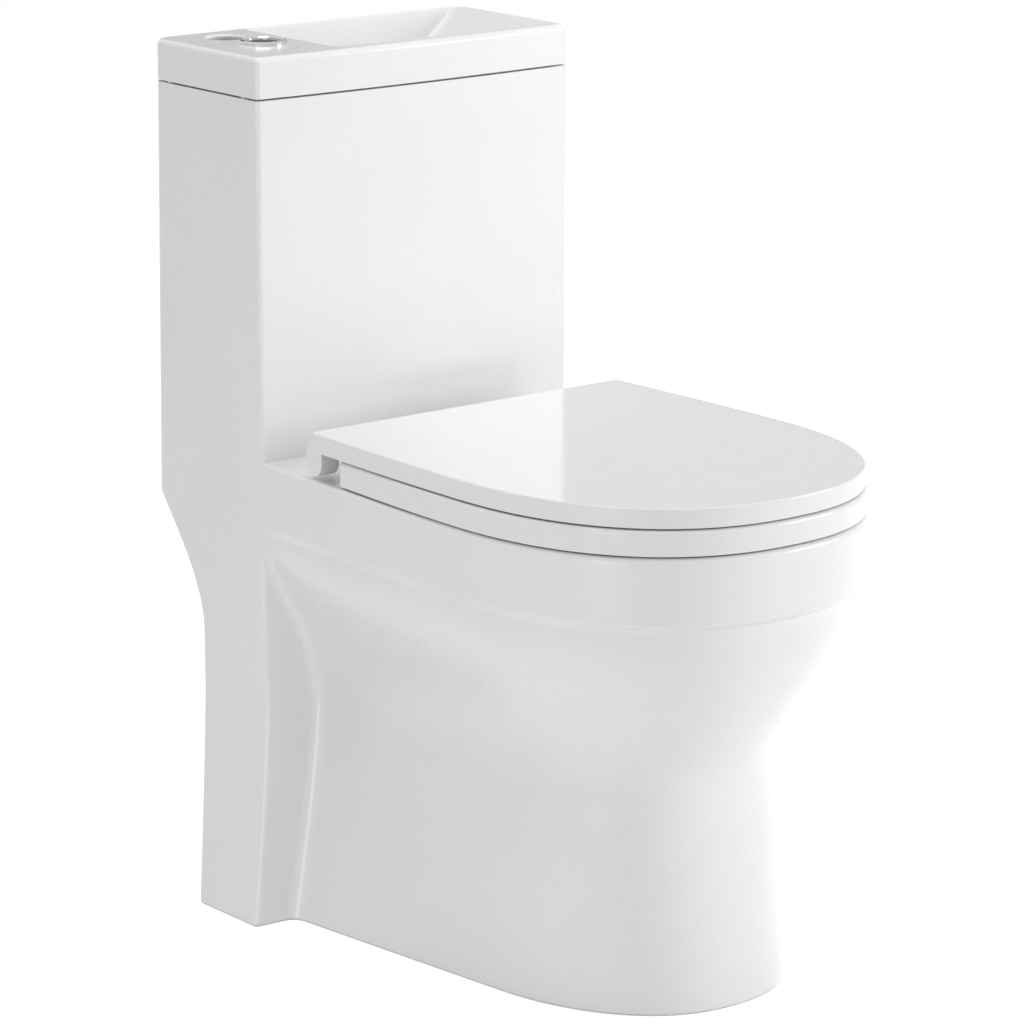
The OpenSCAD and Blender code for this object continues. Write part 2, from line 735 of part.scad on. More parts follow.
module key_spring(x) {
    at_button() translate([x, 0, 0]) collar(3.6, 4.6, well_floor + 3, key_z);
}
module full_spring() {
    color("gray") key_spring(full_rod_x);
}
module half_spring() {
    color("gray") key_spring(half_rod_x);
}
module push_rod(x) {
    at_button() translate([x, 0, lever_z + 4.2]) cylinder(r = 3, h = key_z - lever_z - 4.2);
}
module full_push_rod() {
    color("whitesmoke") push_rod(full_rod_x);
}
module half_push_rod() {
    color("whitesmoke") push_rod(half_rod_x);
}

// Flush valve: base, tower and head stand still, the tube lifts off its seat
seat_z = tank_floor + 10;
module at_flush() {
    translate([flush_x, flush_y, 0]) children();
}
module flush_gasket() {
    color("black") at_flush() collar(26, 33.5, tank_floor, tank_floor + 3);
}
module flush_base() {
    color("whitesmoke")
        at_flush()
            difference() {
                union() {
                    translate([0, 0, tank_floor - 12]) cylinder(r = 25, h = 15);
                    translate([0, 0, tank_floor + 3]) cylinder(r = 38, h = 5);
                    for (y = anchor_y) {
                        translate([0, y, tank_floor]) cylinder(r = 8, h = 8);
                        translate([-8, min(y, y - sign(y) * 10), tank_floor + 3]) cube([16, 10, 5]);
                    }
                    translate([0, 0, tank_floor + 8]) cylinder(r = 21, h = 1.9);
                }
                translate([0, 0, tank_floor - 15]) cylinder(r = 18, h = 40);
                for (y = anchor_y)
                    translate([0, y, tank_floor - 1]) cylinder(r = 4, h = 20);
            }
}
module flush_bolts() {
    color("silver")
        at_flush()
            for (y = anchor_y) {
                translate([0, y, tank_floor - 12]) cylinder(r = 4, h = 22);
                translate([0, y, tank_floor + 8]) cylinder(r = 6.5, h = 4, $fn = 6);
            }
}
module flush_tower() {
    color("whitesmoke")
        at_flush()
            difference() {
                collar(33, 36, tank_floor + 8, tower_top);
                for (a = [45 : 90 : 315])
                    rotate(a) {
                        translate([25, -13, tank_floor + 14]) cube([20, 26, 46]);
                        translate([25, -10, tank_floor + 80]) cube([20, 20, 100]);
                    }
            }
}
module flush_head() {
    color("skyblue")
        at_flush()
            difference() {
                union() {
                    translate([0, 0, tower_top]) cylinder(r = 36, h = 6);
                    collar(28, 32.8, tower_top - 10, tower_top);
                    for (s = [0, 1])
                        mirror([s, 0, 0]) {
                            across(22, 26) {
                                polygon([[lever_y - 10, tower_top + 5], [lever_y + 14, tower_top + 5],
                                    [lever_y + 5, lever_z], [lever_y - 5, lever_z]]);
                                translate([lever_y, lever_z]) circle(r = 5);
                            }
                            translate([lever_x[0], lever_y, lever_z])
                                rotate([0, 90, 0]) cylinder(r = 2, h = 10);
                        }
                }
                translate([0, 0, tower_top - 1]) cylinder(r = tube_r + 0.5, h = 9);
                translate([-17, 17, tower_top - 1]) cylinder(r = 2.7, h = 9);
            }
}
module overflow_tube() {
    color("whitesmoke")
        at_flush()
            difference() {
                union() {
                    translate([0, 0, seat_z]) cylinder(r = tube_r, h = tower_top + 50 - seat_z);
                    translate([0, 0, seat_z + 3]) cylinder(r = 24, h = 4);
                    translate([0, 0, seat_z + 7]) cylinder(r1 = 20, r2 = tube_r, h = 14);
                    translate([10, -5, lever_z + 3.6]) cube([11.5, 16, 3.4]);
                }
                translate([0, 0, seat_z - 1]) cylinder(r = tube_r - 2, h = tower_top + 60 - seat_z);
            }
}
module flush_seal() {
    color("black") at_flush() collar(tube_r, 26, seat_z, seat_z + 3);
}
module flush_float() {
    color("skyblue") at_flush() collar(tube_r, 29, tank_floor + 78, tank_floor + 118);
}
module half_float() {
    color("skyblue")
        at_flush() {
            collar(tube_r + 1.5, 29, tank_floor + 138, tank_floor + 168);
            translate([-17, 17, tank_floor + 167]) cylinder(r = 2.2, h = lever_z + 4 - tank_floor - 167);
            translate([-22, -2, lever_z + 3.6]) cube([7.8, 22, 2.6]);
        }
}
// A rocking lever: the push rod presses its front, its rear lifts a lug
module lever(pad_x) {
    translate([0, lever_y, lever_z])
        difference() {
            union() {
                translate([lever_x[0], 0, 0]) rotate([0, 90, 0]) cylinder(r = 4.5, h = lever_t);
                translate([lever_x[0], -10, -2]) cube([lever_t, 30, 4]);
                translate([lever_x[0], 20, 0]) rotate([0, 90, 0]) cylinder(r = 3, h = lever_t);
                translate([pad_x, -10, 0]) rotate([0, 90, 0]) cylinder(r = 3, h = lever_x[1] - pad_x);
            }
            translate([lever_x[0] - 1, 0, 0]) rotate([0, 90, 0]) cylinder(r = 2.05, h = 10);
        }
}
module full_lever() {
    color("whitesmoke") at_flush() lever(4.5);
}
module half_lever() {
    color("whitesmoke") at_flush() mirror([1, 0, 0]) lever(7.5);
}

// Fill valve: a threaded shank through the floor, a riser and a float-shut head
module at_fill() {
    translate([fill_x, fill_y, 0]) children();
}
module fill_body() {
    color("whitesmoke")
        at_fill()
            difference() {
                union() {
                    translate([0, 0, shank_z]) cylinder(r = shank_r, h = 80);
                    translate([0, 0, neck_z]) cylinder(r = neck_r, h = 40);
                    translate([0, 0, pocket_floor + 3]) cylinder(r = 19, h = 4);
                    translate([0, 0, pocket_floor + 6])
                        cylinder(r = riser_r, h = head_z + 12 - pocket_floor - 6);
                }
                translate([0, 0, shank_z - 1]) cylinder(r = 7, h = head_z + 22 - shank_z);
            }
}
module fill_washer() {
    color("black") at_fill() collar(neck_r, 19, pocket_floor, pocket_floor + 3);
}
module fill_nut() {
    color("whitesmoke") at_fill() nut(neck_r, 19, pocket_floor - 25, pocket_floor - 15, 6);
}
module fill_head() {
    color("whitesmoke")
        at_fill()
            difference() {
                union() {
                    rotate_extrude()
                        polygon([[riser_r, head_z], [17, head_z], [24, head_z + 12], [24, cap_z],
                            [0, cap_z], [0, head_z + 12], [riser_r, head_z + 12]]);
                    translate([0, -20, head_z + 30]) rotate([90, 0, 0]) cylinder(r = 5, h = 18);
                }
                translate([0, -15, head_z + 30]) rotate([90, 0, 0]) cylinder(r = 3, h = 30);
                translate([0, 0, head_z + 8]) cylinder(r = 7, h = 34);
            }
}
module fill_cap() {
    color("skyblue")
        at_fill()
            difference() {
                union() {
                    translate([0, 0, cap_z]) cylinder(r = 22, h = 9);
                    translate([-12, 0, cap_z + 8]) cylinder(r = 2, h = 2.4);
                    for (y = [-7, 4.4])
                        translate([arm_x - 5, y, cap_z + 2]) cube([16, 2.6, arm_z - cap_z + 3]);
                }
                translate([arm_x, 10, arm_z]) rotate([90, 0, 0]) cylinder(r = 2, h = 20);
            }
}
module fill_pivot() {
    color("silver")
        at_fill() translate([arm_x, 7.5, arm_z]) rotate([90, 0, 0]) cylinder(r = 2, h = 15);
}
module fill_arm() {
    color("whitesmoke")
        at_fill()
            difference() {
                union() {
                    translate([arm_x, 4, arm_z]) rotate([90, 0, 0]) cylinder(r = 4.5, h = 8);
                    translate([arm_x - 40, -4, arm_z - 2.5]) cube([57, 8, 5]);
                }
                translate([arm_x, 5, arm_z]) rotate([90, 0, 0]) cylinder(r = 2.05, h = 10);
                translate([arm_x - 36.5, -2.7, arm_z - 5]) cube([13, 5.4, 10]);
            }
}
module fill_float() {
    color("skyblue")
        at_fill()
            difference() {
                union() {
                    translate([0, 0, float_z]) cylinder(r = 28, h = 90);
                    translate([link_x - 5, -4, float_z + 80]) cube([36, 8, 8]);
                }
                translate([0, 0, float_z - 1]) cylinder(r = 15, h = 92);
                translate([link_x, 0, float_z + 75]) cylinder(r = link_r, h = 20);
            }
}
module fill_link() {
    color("silver")
        at_fill()
            translate([link_x, 0, 0]) {
                translate([0, 0, float_z + 75]) cylinder(r = link_r, h = arm_z + 6 - float_z - 75);
                for (z = [arm_z - 17, arm_z + 6])
                    translate([0, 0, z]) cylinder(r = 4.5, h = 2.5);
            }
}
module inlet_filter() {
    color("skyblue")
        at_fill()
            difference() {
                union() {
                    translate([0, 0, shank_z + 1]) cylinder(r = 7, h = 3);
                    translate([0, 0, shank_z + 1]) cylinder(r = 5.4, h = 24);
                }
                translate([0, 0, shank_z]) cylinder(r = 4.2, h = 23);
            }
}

pan_body();
hinge_plates();
hinge_posts();
seat_bolts();
bolt_sleeves();
sleeve_nuts();
ring_damper();
cover_damper();
seat_ring();
ring_buffers();
seat_cover();
cover_buffers();
cistern_lid();
lid_pads();
basin_waste();
waste_gasket();
waste_nut();
waste_tailpipe();
button_bezel();
button_housing();
button_nut();
full_button();
half_button();
full_spring();
half_spring();
full_push_rod();
half_push_rod();
flush_gasket();
flush_base();
flush_bolts();
flush_tower();
flush_head();
overflow_tube();
flush_seal();
flush_float();
half_float();
full_lever();
half_lever();
fill_body();
fill_washer();
fill_nut();
fill_head();
fill_cap();
fill_pivot();
fill_arm();
fill_float();
fill_link();
inlet_filter();
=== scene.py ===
import bpy
import bmesh
from math import sin, cos, tan, pi, radians, copysign
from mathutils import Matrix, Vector


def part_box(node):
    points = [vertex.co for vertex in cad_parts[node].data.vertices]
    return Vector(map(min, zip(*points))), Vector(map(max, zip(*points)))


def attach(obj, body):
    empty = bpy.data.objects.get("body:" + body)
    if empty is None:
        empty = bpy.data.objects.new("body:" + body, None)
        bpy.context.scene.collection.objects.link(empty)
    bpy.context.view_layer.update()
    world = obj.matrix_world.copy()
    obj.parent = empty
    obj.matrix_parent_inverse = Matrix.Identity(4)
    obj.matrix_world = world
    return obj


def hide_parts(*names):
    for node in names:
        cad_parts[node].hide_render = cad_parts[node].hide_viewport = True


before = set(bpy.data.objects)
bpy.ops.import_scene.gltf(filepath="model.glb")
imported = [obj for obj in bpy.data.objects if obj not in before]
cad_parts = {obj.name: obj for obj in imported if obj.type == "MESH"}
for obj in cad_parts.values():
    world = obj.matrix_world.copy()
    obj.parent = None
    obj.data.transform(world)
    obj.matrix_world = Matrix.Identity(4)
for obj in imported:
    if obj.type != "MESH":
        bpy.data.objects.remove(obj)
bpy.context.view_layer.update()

MM = 0.001
pan_low, pan_high = (Vector(corner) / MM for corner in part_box("pan_body"))
lid_low, lid_high = (Vector(corner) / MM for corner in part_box("cistern_lid"))
rim_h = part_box("hinge_plates")[0].z / MM
front_y, back_y = pan_low.y, pan_high.y
lid_back_y = lid_high.y
tank_bow = 5
tank_front_y = lid_low.y + tank_bow
tank_half = lid_high.x
tank_top = pan_high.z
rim_half = (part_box("seat_ring")[1].x / MM) + 1
wall = 10

# The pedestal is slimmest at its waist, swells to the crease and steps out into the rim band.
waist_z, waist_rear, waist_front, waist_y = 200, 121, 125, -260
crease_z, crease_half, crease_y = rim_h - 67, 181, front_y + 10
band_step, band_out = 9, 2
shoulder_y = -117
front_power = 2 / 2.3

# Under the waist the foot spreads again: at the rear, at the shoulder and to the front.
foot_half, foot_rear, foot_front, foot_reach = pan_high.x, 51, 16, 23
column_foot, column_foot_h = 29, 240

# The column's back is cut in below the cistern, to leave room for pipes.
step_top, step_bottom, column_step, foot_tuck = rim_h - 57, 250, 70, 36

# Radii: hollow beside the column, the column's corners, the rim's edge and the foot's edge
cove_r, corner_r, rear_corner_r, edge_r, foot_r = 12, 5, 14, 5, 3


def clamp01(t):
    return min(1, max(0, t))


def soft(t):
    """Leaves 0 and reaches 1 without a kink."""
    t = clamp01(t)
    return t * t * (3 - 2 * t)


def mix(a, b, t):
    return a + (b - a) * t


def steps(a, b, count):
    return [mix(a, b, i / count) for i in range(count + 1)]


def swell(z, power):
    """Growth from the waist up to the crease."""
    return soft(clamp01((z - waist_z) / (crease_z - waist_z)) ** power)


def spread(z, power):
    """Growth from the waist down to the floor."""
    return clamp01(1 - z / waist_z) ** power


def band(z):
    """The step from the crease out to the rim band."""
    return soft((z - crease_z) / band_step)


def column_half(z):
    return mix(tank_half, foot_half, spread(z, 1.2))


def back_half(z):
    """Half of the body's width beside the column."""
    return (waist_rear + (tank_half - band_out - waist_rear) * swell(z, 1.3)
            + foot_rear * spread(z, 1.3) + band_out * band(z))


def front_half(z):
    """Half of the body's width at the shoulder, where the round front begins."""
    return (waist_front + (crease_half - waist_front) * swell(z, 1.15)
            + foot_front * spread(z, 1.2) + (rim_half - crease_half) * band(z))


def front_at(z):
    return (waist_y + (crease_y - waist_y) * swell(z, 0.8)
            - foot_reach * spread(z, 1.1) + (front_y - crease_y) * band(z))


def column_front(z):
    return tank_front_y - column_foot * clamp01(1 - z / column_foot_h) ** 1.15


def back_at(z):
    if z > step_top:
        return mix(back_y, lid_back_y, (z - step_top) / (tank_top - step_top))
    share = sin(pi / 2 * clamp01((step_top - z) / (step_top - step_bottom)) ** 1.05)
    return mix(back_y, back_y - column_step, share) - foot_tuck * spread(z, 1.2)


def side_x(y, z):
    """The flank's line: straight where it narrows to the front, and curved where it widens."""
    rear, growth = back_half(z), front_half(z) - back_half(z)
    t = (tank_front_y - y) / (tank_front_y - shoulder_y)
    return rear + growth * mix(t, sin(pi / 2 * clamp01(t)), soft((growth + 8) / 16))


def rear_half(z):
    """Half of a level from the middle of the back round to where the column's corner begins."""
    half, front, back = column_half(z), column_front(z), back_at(z)
    depth = lid_back_y - tank_front_y
    points = [(x, back) for x in steps(0, half * (1 - rear_corner_r / tank_half), 8)]
    for a in steps(pi / 2, 0, 8)[1:]:
        x = half * (1 - rear_corner_r * (1 - cos(a)) / tank_half)
        points.append((x, mix(front, back, 1 - rear_corner_r * (1 - sin(a)) / depth)))
    side_start = points[-1][1]
    points += [(half, y) for y in steps(side_start, front + corner_r, 9)[1:]]
    return points


def fore_half(z):
    """The rest of a body level: column corner, cove, flank and the round front."""
    half, front = column_half(z), column_front(z)
    share = clamp01((half - back_half(z)) / (corner_r + cove_r))
    points = [(half - corner_r * share * (1 - cos(a)), front + corner_r * (1 - sin(a)))
              for a in steps(0, pi / 2, 6)[1:]]
    cove_x = back_half(z) + cove_r * share
    bowed = lambda x: front - tank_bow * max(0, 1 - (x / (half - corner_r)) ** 2)
    points += [(x, bowed(x)) for x in steps(points[-1][0], cove_x, 4)[1:-1]]
    for a in steps(0, pi / 2, 10):
        y = bowed(cove_x) - cove_r * (1 - cos(a))
        points.append((side_x(y, z) + cove_r * share * (1 - sin(a)), y))
    points += [(side_x(y, z), y) for y in steps(points[-1][1], shoulder_y, 18)[1:]]
    for a in steps(0, pi / 2, 52)[1:]:
        y = shoulder_y - (shoulder_y - front_at(z)) * sin(a) ** front_power
        points.append((side_x(y, z) * max(0, cos(a)) ** front_power, y))
    points[-1] = (0, points[-1][1])
    return points


def tank_fore_half():
    """The cistern's corner and bowed front, at every height above the rim."""
    points = [(tank_half - corner_r * (1 - cos(a)), tank_front_y + corner_r * (1 - sin(a)))
              for a in steps(0, pi / 2, 6)[1:]]
    reach = tank_half - corner_r
    points += [(x, tank_front_y - tank_bow * (1 - (x / reach) ** 2))
               for x in steps(reach, 0, 14)[1:]]
    return points


def both_halves(half):
    """Closes a half outline, which runs from back to front, with its mirror image."""
    return half + [(-x, y) for x, y in half[-2:0:-1]]


def drawn_in(outline, by):
    """Moves each point of a closed outline inwards by by(x, y)."""
    count = len(outline)
    moved = []
    for i, (x, y) in enumerate(outline):
        (x0, y0), (x1, y1) = outline[i - 1], outline[(i + 1) % count]
        along = Vector((x1 - x0, y1 - y0)).normalized()
        step = by(x, y)
        moved.append((x + along.y * step, y - along.x * step))
    return moved


def at_height(outline, z):
    return [(x, y, z) for x, y in outline]


def solid(name, points, faces):
    """A closed mesh with its faces turned outwards, from points in millimetres."""
    mesh = bpy.data.meshes.new(name)
    mesh.from_pydata([Vector(p) * MM for p in points], [], faces)
    made = bmesh.new()
    made.from_mesh(mesh)
    bmesh.ops.remove_doubles(made, verts=made.verts, dist=0.000001)
    bmesh.ops.recalc_face_normals(made, faces=made.faces)
    made.to_mesh(mesh)
    made.free()
    piece = bpy.data.objects.new(name, mesh)
    bpy.context.scene.collection.objects.link(piece)
    return piece


def loft(name, rings):
    """Joins rings of equal point counts into one closed solid."""
    count = len(rings[0])
    faces = [list(range(count))[::-1], [(len(rings) - 1) * count + i for i in range(count)]]
    for level in range(len(rings) - 1):
        for i in range(count):
            a, b = level * count + i, level * count + (i + 1) % count
            faces.append([a, b, b + count, a + count])
    return solid(name, [p for ring in rings for p in ring], faces)


def combine(base, tool, operation):
    """Adds a second solid to the first or takes it away, and keeps the outcome in the first."""
    step = base.modifiers.new(operation, "BOOLEAN")
    step.operation, step.solver, step.object = operation, "MANIFOLD", tool
    result = base.evaluated_get(bpy.context.evaluated_depsgraph_get())
    outcome = bpy.data.meshes.new_from_object(result)
    base.modifiers.clear()
    base.data = outcome
    bpy.data.objects.remove(tool)


def cut(base, *tools):
    for tool in tools:
        combine(base, tool, "DIFFERENCE")


def add(base, *tools):
    for tool in tools:
        combine(base, tool, "UNION")


def ring_about(centre, radius, axis, sides=48):
    """A circle of points about an axis, which is the place of its letter in xyz."""
    u, v = [(1, 2), (2, 0), (0, 1)][axis]
    points = []
    for i in range(sides):
        p = list(centre)
        p[u] += radius * cos(2 * pi * i / sides)
        p[v] += radius * sin(2 * pi * i / sides)
        points.append(tuple(p))
    return points


def rod(centre, radius, length, axis=2, end_radius=None, sides=48):
    """A round bar from its first end's centre, along one axis."""
    far = list(centre)
    far[axis] += length
    return loft("rod", [ring_about(centre, radius, axis, sides),
                        ring_about(far, radius if end_radius is None else end_radius, axis, sides)])


def smooth(piece, angle=32):
    """Shades curved faces as one surface and keeps true edges crisp."""
    piece.data.shade_smooth()
    piece.data.set_sharp_from_angle(angle=radians(angle))
    weight = piece.modifiers.new("even shading", "WEIGHTED_NORMAL")
    weight.keep_sharp = True
    weight.weight = 60


def body_ring(z, by=None):
    """One closed level of the body, drawn in at an edge."""
    outline = both_halves(rear_half(z) + fore_half(z))
    return at_height(drawn_in(outline, by) if by else outline, z)


rounding = steps(0, pi / 2, 6)
body_rings = []
for a in rounding[:-1]:
    body_rings.append(body_ring(foot_r * (1 - cos(a)), lambda x, y: foot_r * (1 - sin(a))))
body_levels = steps(foot_r, crease_z - 2, 90) + steps(crease_z - 1, crease_z + band_step + 1, 14)
body_levels += steps(crease_z + band_step + 2, rim_h - edge_r, 10)
body_rings += [body_ring(z) for z in body_levels]
for a in rounding[1:]:
    edge = lambda x, y: edge_r * (1 - cos(a)) * soft((tank_front_y - y) / 15)
    body_rings.append(body_ring(rim_h - edge_r * (1 - sin(a)), edge))

# The cistern's walls rise from the body's last level, and the seat deck closes the rest of it.
shared = len(rear_half(rim_h))
body_count = len(body_rings[0])
points = [p for ring in body_rings for p in ring]
faces = [list(range(body_count))[::-1]]
for level in range(len(body_rings) - 1):
    for i in range(body_count):
        a, b = level * body_count + i, level * body_count + (i + 1) % body_count
        faces.append([a, b, b + body_count, a + body_count])
top_ring = (len(body_rings) - 1) * body_count
tank_outline = both_halves(rear_half(rim_h) + tank_fore_half())
tank_base = {}
for i in range(len(tank_outline)):
    if i < shared:
        tank_base[i] = top_ring + i
    elif i > len(tank_outline) - shared:
        tank_base[i] = top_ring + body_count - (len(tank_outline) - i)
    else:
        tank_base[i] = len(points)
        points.append((*tank_outline[i], rim_h))
below = [tank_base[i] for i in range(len(tank_outline))]
deck_front = [top_ring + i for i in range(shared - 1, body_count - shared + 2)]
deck_back = [below[i] for i in range(len(tank_outline) - shared, shared - 1, -1)]
faces.append(deck_front + deck_back)
for z in steps(rim_h, tank_top, 22)[1:]:
    above = list(range(len(points), len(points) + len(tank_outline)))
    points += at_height(both_halves(rear_half(z) + tank_fore_half()), z)
    for i in range(len(below)):
        j = (i + 1) % len(below)
        faces.append([below[i], below[j], above[j], above[i]])
    below = above
faces.append(below)
casting = solid("casting", points, faces)

# The bowl narrows from the rim's rounded opening to the sump at its foot.
bowl_half = 147
bowl_front, bowl_back, sump_y = front_y + 42, 36, -115
opening_r = 12


def superellipse(z, half, y0, y1, power, count=96):
    """A level between an ellipse, at power 2, and a rounded rectangle."""
    centre, reach = (y0 + y1) / 2, (y1 - y0) / 2
    ring = []
    for i in range(count):
        c, s = cos(2 * pi * i / count), sin(2 * pi * i / count)
        ring.append((half * copysign(abs(c) ** (2 / power), c),
                     centre + reach * copysign(abs(s) ** (2 / power), s), z))
    return ring


def bowl_ring(depth, width, reach, power, grow=0):
    front, back = mix(sump_y, bowl_front, reach) - grow, mix(sump_y, bowl_back, reach) + grow
    return superellipse(rim_h - depth - grow, bowl_half * width + grow, front, back, power)


# Each row: depth below the rim, share of the half-width, share of the length, roundness
bowl_rows = [(298, 0.18, 0.18, 2), (288, 0.25, 0.25, 2), (245, 0.275, 0.275, 2),
             (205, 0.32, 0.33, 2.05), (175, 0.41, 0.44, 2.1), (145, 0.52, 0.57, 2.2),
             (115, 0.64, 0.70, 2.3), (85, 0.75, 0.81, 2.4), (62, 0.82, 0.88, 2.5),
             (54, 0.88, 0.925, 2.6), (30, 0.915, 0.945, 2.7), (opening_r, 0.93, 0.955, 2.8)]


def eased(rows, count):
    """Carries a soft curve through each row, with count steps between two of them."""
    made = []
    for i in range(len(rows) - 1):
        before, after = rows[max(0, i - 1)], rows[min(len(rows) - 1, i + 2)]
        for t in steps(0, 1, count)[:-1]:
            made.append([0.5 * (2 * q + (r - p) * t + (2 * p - 5 * q + 4 * r - w) * t * t
                                + (3 * q - 3 * r + w - p) * t ** 3)
                         for p, q, r, w in zip(before, rows[i], rows[i + 1], after)])
    return made + [list(rows[-1])]


# The last ring stands a hair above the rim, so that the cut goes clean through it.
bowl_rings = [bowl_ring(*row) for row in eased(bowl_rows, 5)]
for a in steps(0, pi / 2, 8)[1:]:
    depth = opening_r * (1 - sin(a)) - (0.01 if a > 1.5 else 0)
    share = 1 - cos(a)
    bowl_rings.append(bowl_ring(depth, mix(0.93, 1, share), mix(0.955, 1, share), 2.8))

# The trapway leaves the sump, climbs to the weir, which sets the water's level, and falls to
# the floor.
trap_r, trap_wall = 26, 10
trap_y, trap_z, bend_r, climb_angle = -86, rim_h - 271, 38, radians(65)
weir_z = rim_h - 195 + trap_r - bend_r
climb = weir_z + bend_r * cos(climb_angle) - trap_z - bend_r * (1 - cos(climb_angle))
weir_y = trap_y + 2 * bend_r * sin(climb_angle) + climb / tan(climb_angle)
outlet_y = weir_y + bend_r
trap_line = [(trap_y - 30, trap_z, 0)]
trap_line += [(trap_y + bend_r * sin(a), trap_z + bend_r * (1 - cos(a)), a)
              for a in steps(0, climb_angle, 8)]
trap_line += [(weir_y - bend_r * sin(a), weir_z + bend_r * cos(a), a)
              for a in steps(climb_angle, -pi / 2, 16)]
trap_line += [(outlet_y, 50, -pi / 2)]


def trap_tube(radius, sides=40):
    """A round tube along the trapway's line, square to it at every point."""
    rings = []
    for y, z, lean in trap_line:
        ring = []
        for i in range(sides):
            a = 2 * pi * i / sides
            out, up = radius * cos(a), radius * sin(a)
            ring.append((out, y + up * sin(lean), z - up * cos(lean)))
        rings.append(ring)
    return loft("trapway", rings)


def prism(outline, z0, z1):
    """An outline in x and y, drawn up along z."""
    return loft("prism", [at_height(outline, z0), at_height(outline, z1)])


def slab(outline, x0, x1):
    """An outline in y and z, drawn out along x."""
    return loft("slab", [[(x, y, z) for y, z in outline] for x in (x0, x1)])


# The hollow under the bowl, with its gallery inside the rim and a passage above it that
# leads the flush from the cistern to the bowl.
passage_z = rim_h - 52
core_levels = [-1, 20, 50, 95, 147, waist_z, 230, 260, 290, 320, passage_z - wall]


def core_outline(z, back, inset):
    """The core's half level has its own even steps, so that every level has as many points."""
    half = min(column_half(z), back_half(z) + cove_r)
    start = column_front(z) - cove_r
    outline = [(0, back), ((half - inset) * 0.5, back), (half - inset, back),
               (half - inset, start + cove_r)]
    outline += [(side_x(y, z) - inset, y) for y in steps(start, shoulder_y, 10)]
    for a in steps(0, pi / 2, 30)[1:]:
        y = shoulder_y - (shoulder_y - front_at(z) - inset) * sin(a) ** front_power
        outline.append(((side_x(y, z) - inset) * max(0, cos(a)) ** front_power, y))
    outline[-1] = (0, outline[-1][1])
    return at_height(both_halves(outline), z)


core_back, gallery_end = 240, 20
core = loft("core", [core_outline(z, core_back if z > step_bottom else back_at(z) - wall, wall)
                     for z in core_levels])
gallery_levels = [passage_z - wall - 1, crease_z, crease_z + 8, rim_h - 14]
gallery = loft("gallery", [core_outline(z, 200, wall) for z in gallery_levels])
cut(gallery, slab([(gallery_end, 0), (400, 0), (400, 600), (gallery_end, 600)], -300, 300))
add(core, gallery)
cut(core, loft("bowl shell", [bowl_ring(*row, grow=wall) for row in eased(bowl_rows, 2)]
               + [bowl_ring(-wall - 1, 1, 1, 2.8, grow=wall)]), trap_tube(trap_r + trap_wall))

# The cistern has a level floor for the flush valve, and a pocket at its rear right for the
# fill valve.
tank_floor, pocket_floor, pocket_x = rim_h - 18, rim_h - 65, -60
inner_half, inner_front = tank_half - wall, tank_front_y + wall
inner_side = [(inner_front, tank_floor), (back_y - wall, tank_floor),
              (lid_back_y - wall, tank_top + 5), (inner_front, tank_top + 5)]
pocket_side = [(262, tank_floor + 1), (279, pocket_floor), (330, pocket_floor),
               (back_y - wall, pocket_floor + 35), (back_y - wall, tank_floor + 1)]
cistern_space = slab(inner_side, -inner_half, inner_half)
pocket = slab(pocket_side, pocket_x, inner_half)
passage_plan = [(-146, 302), (-146, 236), (-62, 110), (-44, 60), (-44, 10), (44, 10),
                (44, 60), (30, 110), (-60, 190), (-88, 236), (-88, 302)]
passage = prism(passage_plan, passage_z, passage_z + 20)
cut(casting, core, loft("bowl", bowl_rings), trap_tube(trap_r), passage, cistern_space, pocket)

# The spigot over the floor outlet, and the holes for the bolts and the two valves. The fill
# valve's shank comes out in a well for its nut, which opens into the step at the back.
flush_x, flush_y, fill_x, fill_y = -118, 273, 120, 300
bolt_x, hinge_y = 77.5, 93
spigot_r, spigot_foot, spigot_h, outlet_r, outlet_h, taper_h = 51, 8, 74, 40, 60, 22
flush_hole_r, fill_hole_r, nut_well_r, hose_well_r = 26, 12, 23, 19
seat_bolt_hole_r, flush_bolt_hole_r, flush_bolt_y = 8, 4, 42
add(casting, rod((0, outlet_y, spigot_foot), spigot_r, spigot_h))
bores = [rod((0, outlet_y, -1), outlet_r, outlet_h + 1),
         rod((0, outlet_y, outlet_h - 0.1), outlet_r, taper_h, end_radius=trap_r),
         rod((flush_x, flush_y, tank_floor - 22), flush_hole_r, 30),
         rod((fill_x, fill_y, pocket_floor - 45), fill_hole_r, 60),
         rod((fill_x, fill_y, pocket_floor - 75), nut_well_r, 60),
         rod((fill_x, fill_y, step_bottom - 4), hose_well_r, 50)]
bores += [rod((side * bolt_x, hinge_y, rim_h - 46), seat_bolt_hole_r, 50) for side in (-1, 1)]
bores += [rod((flush_x, flush_y + side * flush_bolt_y, tank_floor - 12), flush_bolt_hole_r, 20)
          for side in (-1, 1)]
cut(casting, *bores)
smooth(casting)


def shader(material):
    material.use_nodes = True
    tree = material.node_tree
    return tree.nodes, tree.links, tree.nodes["Principled BSDF"]


def noise_of(nodes, links, scale, detail):
    """Noise laid out on the piece's own coordinates, in turns per metre."""
    place = nodes.new("ShaderNodeTexCoord")
    noise = nodes.new("ShaderNodeTexNoise")
    noise.inputs["Scale"].default_value = scale
    noise.inputs["Detail"].default_value = detail
    links.new(place.outputs["Object"], noise.inputs["Vector"])
    return noise.outputs["Fac"]


def ranged(nodes, links, value, low, high, start=0.3, end=0.7):
    """Spreads a value from start..end over low..high."""
    scale = nodes.new("ShaderNodeMapRange")
    limits = {"From Min": start, "From Max": end, "To Min": low, "To Max": high}
    for name, number in limits.items():
        scale.inputs[name].default_value = number
    links.new(value, scale.inputs["Value"])
    return scale.outputs["Result"]


